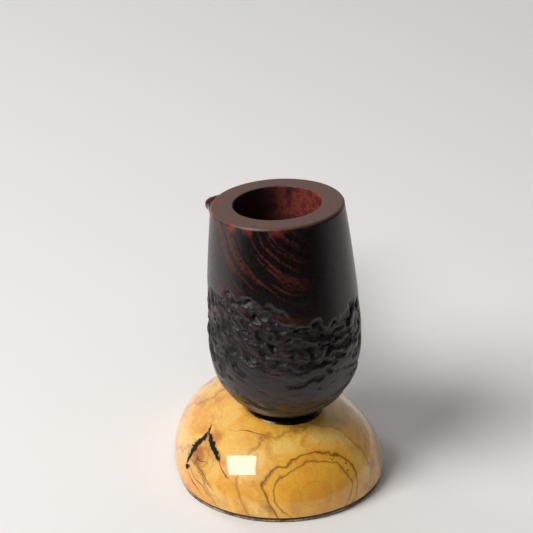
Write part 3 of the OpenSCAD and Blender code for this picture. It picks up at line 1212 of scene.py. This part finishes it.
@dataclass
class Stummel:
    """Bowl and shank, one piece of briar. Sizes in millimetres, with the bowl upright over the origin."""

    place: PipePlace
    flame: Flame
    height: float = 54.09
    rim_round: float = 0.55
    chamber_r: float = 10.33
    chamber_floor: float = 9.5
    side: tuple[tuple[float, float], ...] = (
        (13.5, 5.6), (16.8, 10.9), (18.15, 17.2), (18.4, 23.5), (17.95, 30.4), (17.25, 38.3), (16.45, 46.2),
        (15.5, 54.1))
    shank_taper: tuple[float, float, float, float] = (10.0, 9.0, 44.0, 7.0)
    draught_r: float = 1.9
    mortise_r: float = 4.05
    mortise_len: float = 15.0
    join_z: float = 38.5
    voxel: float = 0.37

    def outline(self) -> np.ndarray:
        """The smooth side of the bowl as rows of height and radius.

        Returns:
            The rows, from the round underside to above the rim.
        """
        p = np.array(self.side)
        rows = []
        for i in range(len(p) - 1):
            a, b, c, d = p[max(i - 1, 0)], p[i], p[i + 1], p[min(i + 2, len(p) - 1)]
            for t in np.linspace(0, 1, 12, endpoint=False):
                rows.append(0.5 * (2 * b + (c - a) * t + (2 * a - 5 * b + 4 * c - d) * t * t
                                   + (3 * b - a - 3 * c + d) * t**3))
        rows += [p[-1], p[-1] + (-0.5, 4.0)]
        return np.array(rows)[:, ::-1]

    def skin(self, p: np.ndarray) -> np.ndarray:
        """Distance of points from the smooth outside of bowl and shank, negative inside.

        Args:
            p: Points of the upright pipe, in millimetres, one row each.

        Returns:
            One distance for each point.
        """
        rows = self.outline()
        under = self.place.under_r
        out = np.hypot(p[:, 0], p[:, 1])
        radius = np.interp(p[:, 2], rows[:, 0], rows[:, 1])
        slope = np.interp(p[:, 2], rows[:, 0], np.gradient(rows[:, 1], rows[:, 0]))
        bowl = np.where(p[:, 2] < self.side[0][1],
                        np.linalg.norm(p - np.array([0, 0, under]), axis=1) - under,
                        (out - radius) / np.sqrt(1 + slope**2))
        y1, r1, y2, r2 = self.shank_taper
        q, axis_z = self.place.on_shank(p), self.place.shank_z
        thick = r1 + (r2 - r1) * (np.maximum(q[:, 1], 0) - y1) / (y2 - y1)
        shank = np.hypot(q[:, 0], q[:, 2] - axis_z) - thick
        shank = np.where(q[:, 1] < 0, np.hypot(shank, q[:, 1]), shank)
        # The crease is rounder above the shank than below it, where the rest is close
        width = 1.0 + 5.5 * ease(p[:, 2], axis_z - 6, axis_z + 6)
        return soft_min(bowl, shank, width)

    def slope(self, p: np.ndarray) -> np.ndarray:
        """Outward direction of the skin at points.

        Args:
            p: Points of the upright pipe, in millimetres, one row each.

        Returns:
            One unit vector for each point.
        """
        step = 0.05
        parts = [self.skin(p + np.eye(3)[i] * step) - self.skin(p - np.eye(3)[i] * step) for i in range(3)]
        way = np.stack(parts, axis=1)
        return way / np.maximum(np.linalg.norm(way, axis=1, keepdims=True), 1e-9)

    def carving(self, p: np.ndarray) -> np.ndarray:
        """Depth of the carved texture at points of the outside.

        Gouges follow the flame of the grain. The carving is craggy along its upper edge, and turns
        to separate short cuts lower down. It fades out on the shank and on the round underside.

        Args:
            p: Points of the smooth outside.

        Returns:
            Depth below the smooth outside, one value for each point.
        """
        away, angle, along = self.flame.axes(p)
        right = away * np.sin(angle)
        loose = away + 2.4 * (soft_noise(p / 4.5, 1) - 0.5) + 0.9 * (soft_noise(p / 1.7, 2) - 0.5)
        arc = angle * 30
        busy = 0.07 * ease(p[:, 2], 17, 24) - 0.05
        cuts = ease(soft_noise(np.stack([loose / 1.2, arc / 2.8, along / 3.0], 1), 3) + busy, 0.62, 0.73)
        nicks = ease(soft_noise(np.stack([loose / 0.8, arc / 1.7, along / 1.9], 1), 4) + busy, 0.62, 0.73)
        crag = 1 - np.abs(2 * soft_noise(np.stack([loose / 1.2, arc / 2.7, along / 2.7], 1), 6) - 1)
        crumb = soft_noise(np.stack([loose / 0.8, arc / 1.6, along / 1.6], 1), 7)
        swell = soft_noise(p / 3.0, 8)
        edge = 37.5 - 6.5 * ease(right, -16, -4) + 3.5 * ease(right, 0, 12)
        zone = ease(edge - p[:, 2] + 5.0 * (soft_noise(p / 2.6, 9) - 0.5), 0.0, 2.2)
        rough = zone * ease(p[:, 2], 17, 23) * (0.45 + 0.55 * ease(-right, -8, 6))
        calm = ease(p[:, 2], 3.5, 8.0) * (1 - ease(p[:, 1], 17, 25))
        depth = 0.58 * cuts * (0.6 + 0.4 * rough) + 0.38 * nicks * (0.5 + 0.5 * rough)
        depth += rough * (0.5 * crag**2 * crumb + 0.2 * crumb) + (0.03 + 0.08 * rough) * swell
        return zone * calm * depth

    def axis_point(self, y: float) -> Vector:
        """A point of the shank's axis, on the upright pipe."""
        return self.place.lift() @ Vector((0, y, self.place.shank_z))

    def carve_lower(self) -> Piece:
        """Merges a round body and a tapered shank, draws them onto the smooth skin and carves them.

        Returns:
            The lower part, open at the top.
        """
        piece = add("briar_stummel", bpy.ops.mesh.primitive_uv_sphere_add, segments=96, ring_count=64,
                    radius=MM)
        unit = points(piece)
        rows = self.outline()
        p = unit.copy()
        p[:, 2] = (unit[:, 2] + 1) / 2 * (self.height + 2)
        under = self.place.under_r
        radius = np.where(p[:, 2] < self.side[0][1],
                          np.sqrt(np.clip(under**2 - (under - p[:, 2]) ** 2, 0, None)),
                          np.interp(p[:, 2], rows[:, 0], rows[:, 1]))
        flat = np.maximum(np.hypot(unit[:, 0], unit[:, 1]), 1e-6)
        p[:, :2] *= (radius * np.clip(flat * 5, 0, 1) / flat)[:, None]
        put_points(piece, p)
        y1, r1, y2, r2 = self.shank_taper
        fall = (r1 - r2) / (y2 - y1)
        join_onto(piece, drum("shank", self.axis_point(4), self.axis_point(y2 + 3), r1 + fall * (y1 - 4),
                              r2 - fall * 3, 96))
        blend = piece.modifiers.new("blend", "REMESH")
        blend.mode, blend.voxel_size = "VOXEL", self.voxel * MM
        bpy.ops.object.modifier_apply(modifier=blend.name)
        p = points(piece)
        body = self.place.on_shank(p)[:, 1] < y2 + 2
        for _ in range(3):
            p[body] -= self.slope(p[body]) * np.clip(self.skin(p[body]), -2, 2)[:, None]
        p[body] -= self.slope(p[body]) * self.carving(p[body])[:, None]
        put_points(piece, p)
        edit(piece)
        trim((0, 0, self.join_z * MM), (0, 0, 1), clear_outer=True)
        trim(self.axis_point(y2) * MM, self.place.lift().to_3x3() @ Vector((0, 1, 0)), clear_outer=True,
             use_fill=True)
        leave_edit()
        return piece

    def turn_upper(self) -> Piece:
        """Turns the upper wall, the flat rim and the chamber down to its round floor.

        Returns:
            The upper part, open at the bottom.
        """
        rows = self.outline()
        wall = [(float(np.interp(h, rows[:, 0], rows[:, 1])), h)
                for h in np.linspace(self.join_z + 0.35, self.height - self.rim_round, 34)]
        rim_r, r = self.side[-1][0], self.rim_round
        turn = [math.radians(a) for a in (12, 28, 45, 62, 78, 90)]
        outer = [(rim_r - r + r * math.cos(a), self.height - r + r * math.sin(a)) for a in turn]
        flat = [(f, self.height) for f in np.linspace(rim_r - r - 0.3, self.chamber_r + 0.5, 8)]
        small = 0.25
        inner = [(self.chamber_r + small - small * math.sin(a), self.height - small + small * math.cos(a))
                 for a in (0.0, 0.5, 1.0, math.pi / 2)]
        middle = self.chamber_floor + self.chamber_r
        bore = [(self.chamber_r, h) for h in np.linspace(self.height - 1, middle, 30)]
        floor = [(self.chamber_r * math.cos(a), middle - self.chamber_r * math.sin(a))
                 for a in np.linspace(0.08, math.pi / 2, 22)]
        return turned("upper_wall", wall + outer + flat + inner + bore + floor, 288)

    def build(self) -> None:
        """Joins the lower and upper parts, bores the shank, and dresses the piece."""
        piece = self.carve_lower()
        join_onto(piece, self.turn_upper())
        edit(piece)
        choose(piece, Pick.EDGES, lambda e: e.is_boundary)
        bpy.ops.mesh.bridge_edge_loops()
        leave_edit()
        outwards(piece)
        end = self.shank_taper[2]
        axis = [self.axis_point(y) for y in (0.0, end + 1, end - self.mortise_len)]
        cut_away(piece, drum("draught", axis[0], axis[1], self.draught_r, self.draught_r, 48))
        cut_away(piece, drum("mortise", axis[2], axis[1], self.mortise_r, self.mortise_r, 96))
        p = points(piece)
        below = -self.skin(p)
        bored = (np.hypot(p[:, 0], p[:, 1]) < self.chamber_r + 0.2) & (p[:, 2] > self.chamber_floor - 0.5)
        depth = np.where((below > 1.6) | bored | (p[:, 2] > self.join_z), 0.0, np.clip(below, 0, 1))
        carving = piece.data.attributes.new("carving", "FLOAT", "POINT")
        carving.data.foreach_set("value", depth.astype(np.float32))
        dress(piece, StainedBriar(self.place, self.flame).make(), ChamberStainAndShade(self.place, self.flame).make())
        centres = np.array([face.center for face in piece.data.polygons]) / MM
        level = self.place.on_shank(centres)
        chamber = (np.hypot(centres[:, 0], centres[:, 1]) < self.chamber_r + 0.1) & (
            centres[:, 2] > self.chamber_floor - 0.2)
        bore = (level[:, 1] > 0) & (level[:, 1] < end - 0.1) & (
            np.hypot(level[:, 0], level[:, 2] - self.place.shank_z) < self.mortise_r + 0.1)
        piece.data.polygons.foreach_set("material_index", (chamber | bore).astype(np.int32))
        smooth_faces(piece, 55)
        self.place.put(piece, self.place.matrix())
        hand_in(piece, Body.PIPE, "bowl_and_shank")


@dataclass
class Mouthpiece:
    """The mouthpiece and the tenon in its end. Sizes in millimetres, on the upright pipe."""

    place: PipePlace
    start: float = 44.0
    tenon_r: float = 4.0
    tenon_root: float = 10.0
    airway_r: float = 1.5
    slot_w: float = 9.0
    slot_t: float = 1.6
    slot_len: float = 12.0
    # Cross-sections as (distance from the shank, half width, half thickness)
    sections: tuple[tuple[float, float, float], ...] = (
        (0.0, 6.72, 6.72), (0.25, 6.93, 6.93), (0.8, 6.98, 6.98), (3.0, 6.97, 6.8), (6.5, 6.93, 6.37),
        (10.0, 6.9, 5.86), (14.0, 6.9, 5.28), (18.0, 6.92, 4.78), (22.0, 6.95, 4.4), (27.0, 7.0, 3.92),
        (32.0, 7.04, 3.46), (37.0, 7.08, 3.06), (42.0, 7.12, 2.72), (47.0, 7.15, 2.42), (52.0, 7.18, 2.16),
        (56.0, 7.2, 2.02), (58.4, 7.22, 1.98), (58.9, 7.26, 2.1), (59.3, 7.45, 2.42), (59.8, 7.66, 2.64),
        (60.5, 7.72, 2.68), (61.1, 7.66, 2.6), (61.6, 7.42, 2.3), (61.9, 7.0, 1.85), (62.0, 6.4, 1.45))

    def draw_body(self) -> Piece:
        """Draws the body out of a disc, one cross-section after another, and closes its ends.

        Returns:
            The body, without its bores.
        """
        first = self.sections[0]
        piece = add("red_mouthpiece", bpy.ops.mesh.primitive_circle_add, vertices=96, radius=first[1] * MM,
                    fill_type="NGON", location=(0, self.start * MM, self.place.shank_z * MM),
                    rotation=(math.pi / 2, 0, 0))
        edit(piece)
        bpy.ops.mesh.select_all(action="SELECT")
        for last, now in zip(self.sections, self.sections[1:]):
            middle = (0, (self.start + now[0]) * MM, self.place.shank_z * MM)
            bpy.ops.mesh.extrude_region_move(TRANSFORM_OT_translate={"value": (0, (now[0] - last[0]) * MM, 0)})
            bpy.ops.transform.resize(value=(now[1] / last[1], 1, now[2] / last[2]), center_override=middle)
        leave_edit()
        outwards(piece)
        # The flattened part is a little squarer than an ellipse
        p = points(piece)
        y, rows = p[:, 1] - self.start, np.array(self.sections)
        half_w, half_t = (np.interp(y, rows[:, 0], rows[:, i]) for i in (1, 2))
        u, v = p[:, 0] / half_w, (p[:, 2] - self.place.shank_z) / half_t
        power = 2 + 0.7 * ease(y, 8, 40)
        grow = 1 / np.maximum((np.abs(u) ** power + np.abs(v) ** power) ** (1 / power), 1e-6)
        rim = np.hypot(u, v) > 0.9
        p[rim, 0] *= grow[rim]
        p[rim, 2] = self.place.shank_z + (p[rim, 2] - self.place.shank_z) * grow[rim]
        put_points(piece, p)
        return piece

    def slot_cutter(self, end: float) -> Piece:
        """Shapes the fan-shaped slot of the button from a block.

        Args:
            end: Where the mouthpiece ends along the shank, in millimetres.

        Returns:
            The cutter.
        """
        cutter = add("slot", bpy.ops.mesh.primitive_cube_add, size=MM,
                     scale=(self.slot_w, self.slot_len + 1, self.slot_t),
                     location=(0, (end + 0.5 - self.slot_len / 2) * MM, self.place.shank_z * MM))
        edit(cutter)
        choose(cutter, Pick.FACES, lambda f: f.normal.y < -0.5)
        bpy.ops.transform.resize(value=(self.airway_r / self.slot_w, 1, 0.9))
        choose(cutter, Pick.EDGES, lambda e: abs(e.verts[0].co.y - e.verts[1].co.y) > MM)
        bpy.ops.mesh.bevel(offset=0.5 * MM, segments=4, affect="EDGES")
        leave_edit()
        return cutter

    def build(self) -> None:
        """Builds the mouthpiece, bores it, and dresses it and the tenon."""
        piece = self.draw_body()
        end = self.start + self.sections[-1][0]
        axis = [Vector((0, y, self.place.shank_z))
                for y in (self.start - 1, self.start + self.tenon_root, end - self.slot_len + 1)]
        cut_away(piece, drum("tenon_hole", axis[0], axis[1], self.tenon_r + 0.01, self.tenon_r + 0.01, 96))
        cut_away(piece, drum("airway", axis[0], axis[2], self.airway_r, self.airway_r, 48))
        cut_away(piece, self.slot_cutter(end))
        smooth_faces(piece, 38)
        dress(piece, MarbledEbonite(self.place).make())
        self.place.put(piece, self.place.matrix() @ self.place.lift())
        hand_in(piece, Body.BIT, "mouthpiece")
        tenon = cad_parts["tenon"]
        for slot in tenon.material_slots:
            slot.material = TurnedAcetal(self.place).make()
        LOG.info("tenon: the CAD node, dressed as turned acetal")


@dataclass
class Studio:
    """Floor, lights and camera. Distances in millimetres, angles in degrees."""

    look_down: float = 25.006
    look_right: float = 15.48
    eye: tuple[float, float, float] = (-100.65, -346.86, 224.51)
    lens: float = 114.8
    key_way: tuple[float, float, float] = (-0.707, -0.228, 0.670)
    key_distance: float = 1300.0
    key_size: tuple[float, float] = (720.0, 600.0)
    key_edge: tuple[float, float, float] = (0.63, -0.62, 0.45)
    key_power: float = 17.5
    wash_power: float = 18.0
    fill_power: float = 1.0
    flag_r: float = 115.0
    flag_h: float = 76.0
    flag_span: tuple[float, float] = (-88.0, 92.0)
    # The floor's side, in metres
    floor_size: float = 6.0

    def lay_floor(self) -> None:
        """Lays a plain pale floor."""
        floor = add("studio_floor", bpy.ops.mesh.primitive_plane_add, size=self.floor_size)
        material, tree = new_material("matt_pale_paper")
        mm = millimetres(tree)
        cloud = node(tree, "TexNoise", {"Vector": mm, "Scale": 1 / 160, "Detail": 1}).outputs[0]
        colour = node(tree, "Mix", {0: cloud, 6: "#eeedec", 7: "#f1f0ef"}, data_type="RGBA").outputs[2]
        close_material(tree, Base_Color=colour, Roughness=0.9, IOR=1.4)
        dress(floor, material)

    def hang_light(self, name: str, way: Sequence[float], distance: float, size: Sequence[float],
                   power: float, edge: Sequence[float], colour: str = "#ffffff",
                   aim: Sequence[float] = (0, 0, 20), in_gloss: bool = False) -> None:
        """Hangs a rectangular light.

        Args:
            name: Name of the light.
            way: Direction from its aim to the light.
            distance: Distance from its aim.
            size: Width and height of the light.
            power: Its power in watts.
            edge: Direction of its width.
            colour: Its colour.
            aim: The point that it faces.
            in_gloss: Whether glossy surfaces show it.
        """
        bpy.ops.object.select_all(action="DESELECT")
        back = Vector(way).normalized()
        across = Vector(edge)
        across = (across - back * across.dot(back)).normalized()
        bpy.ops.object.light_add(type="AREA")
        light = bpy.context.active_object
        light.name = name
        light.data.shape = "RECTANGLE"
        light.data.size, light.data.size_y = size[0] * MM, size[1] * MM
        light.data.energy = power
        light.data.color = srgb(colour)[:3]
        light.visible_glossy = in_gloss
        turn = Matrix((across, back.cross(across), back)).transposed().to_4x4()
        light.matrix_world = Matrix.Translation((back * distance + Vector(aim)) * MM) @ turn

    def stand_flag(self) -> None:
        """Stands a curved black card between the object and the camera, to keep its gloss dark.

        Only reflections see it: it hides nothing from the camera and throws no shadow.
        """
        flag = add("black_flag", bpy.ops.mesh.primitive_cylinder_add, vertices=96, radius=self.flag_r * MM,
                   depth=self.flag_h * MM, end_fill_type="NOTHING", location=(0, 0, (self.flag_h / 2 + 1) * MM))
        edit(flag)
        low, high = (math.radians(a) for a in self.flag_span)
        choose(flag, Pick.FACES, lambda f: not low < math.atan2(
            f.calc_center_median().x, -f.calc_center_median().y) + math.radians(self.look_right) < high)
        bpy.ops.mesh.delete(type="FACE")
        leave_edit()
        material, tree = new_material("black_card")
        # The card thins out towards its ends and its top, so that its reflection has no hard edge
        split = node(tree, "SeparateXYZ", {0: millimetres(tree)})
        front = node(tree, "Math", {0: split.outputs[1], 1: -1.0}, operation="MULTIPLY").outputs[0]
        angle = node(tree, "Math", {0: split.outputs[0], 1: front}, operation="ARCTAN2").outputs[0]
        turn = math.radians(self.look_right)
        cover = node(tree, "MapRange", {0: angle, 1: low - turn, 2: low - turn + 0.6}).outputs[0]
        # Its top falls away on the left, below the light's own reflection
        dip = node(tree, "MapRange", {0: angle, 1: low - turn + 0.9, 2: low - turn + 0.3, 3: 0.0,
                                      4: 28.0}).outputs[0]
        high_up = node(tree, "Math", {0: split.outputs[2], 1: dip}).outputs[0]
        for value, start, end in ((angle, high - turn, high - turn - 0.6),
                                  (high_up, self.flag_h, self.flag_h - 12)):
            part = node(tree, "MapRange", {0: value, 1: start, 2: end}).outputs[0]
            cover = node(tree, "Math", {0: cover, 1: part}, operation="MULTIPLY").outputs[0]
        close_material(tree, Base_Color="#050505", Roughness=1.0, Alpha=cover)
        dress(flag, material)
        flag.visible_camera = flag.visible_diffuse = flag.visible_shadow = False

    def light_air(self) -> None:
        """Gives the studio a low light that is brighter behind the object than behind the camera."""
        world = bpy.data.worlds.new("studio_air")
        bpy.context.scene.world = world
        world.use_nodes = True
        tree = world.node_tree
        tree.nodes.clear()
        way = node(tree, "TexCoord").outputs["Generated"]
        back = node(tree, "VectorMath", {0: way, 1: (0.1, 0.95, 0.3)}, operation="DOT_PRODUCT").outputs[1]
        amount = node(tree, "MapRange", {0: back, 1: 0.0, 2: 0.95, 3: 0.05, 4: 0.55},
                      interpolation_type="SMOOTHSTEP").outputs[0]
        air = node(tree, "Background", {"Color": "#f6f1ee", "Strength": amount})
        node(tree, "OutputWorld", {"Surface": air.outputs[0]})

    def set_camera(self) -> None:
        """Puts the camera at its height and angle, with everything in focus."""
        bpy.ops.object.select_all(action="DESELECT")
        bpy.ops.object.camera_add(
            location=Vector(self.eye) * MM,
            rotation=(math.radians(90 - self.look_down), 0, -math.radians(self.look_right)))
        camera = bpy.context.active_object
        camera.name = "studio_camera"
        camera.data.lens, camera.data.sensor_width = self.lens, 36.0
        camera.data.clip_start, camera.data.clip_end = 0.01, 20.0
        bpy.context.scene.camera = camera

    def build(self) -> None:
        """Sets up the floor, the lights and the camera."""
        self.lay_floor()
        self.hang_light("soft_window", self.key_way, self.key_distance, self.key_size, self.key_power,
                        self.key_edge, "#fffdfb", in_gloss=True)
        self.hang_light("back_wash", (-0.45, 0.82, 0.35), 1500, (600, 400), self.wash_power, (0.88, 0.48, 0.0),
                        aim=(-250, 650, 0))
        self.hang_light("front_fill", (-0.35, -0.8, 0.48), 1300, (700, 500), self.fill_power, (0.9, -0.4, 0.0))
        self.stand_flag()
        self.light_air()
        self.set_camera()
        bpy.context.scene.view_settings.view_transform = "Standard"
        LOG.info("studio: floor, three soft lights, black flag, low air light and camera")


def main() -> None:
    logging.basicConfig(level=logging.INFO, format="%(name)s %(message)s")
    place, flame = PipePlace(), Flame()
    Rest(place).build()
    Stummel(place, flame).build()
    Mouthpiece(place).build()
    Studio().build()


if __name__ == "__main__":
    main()
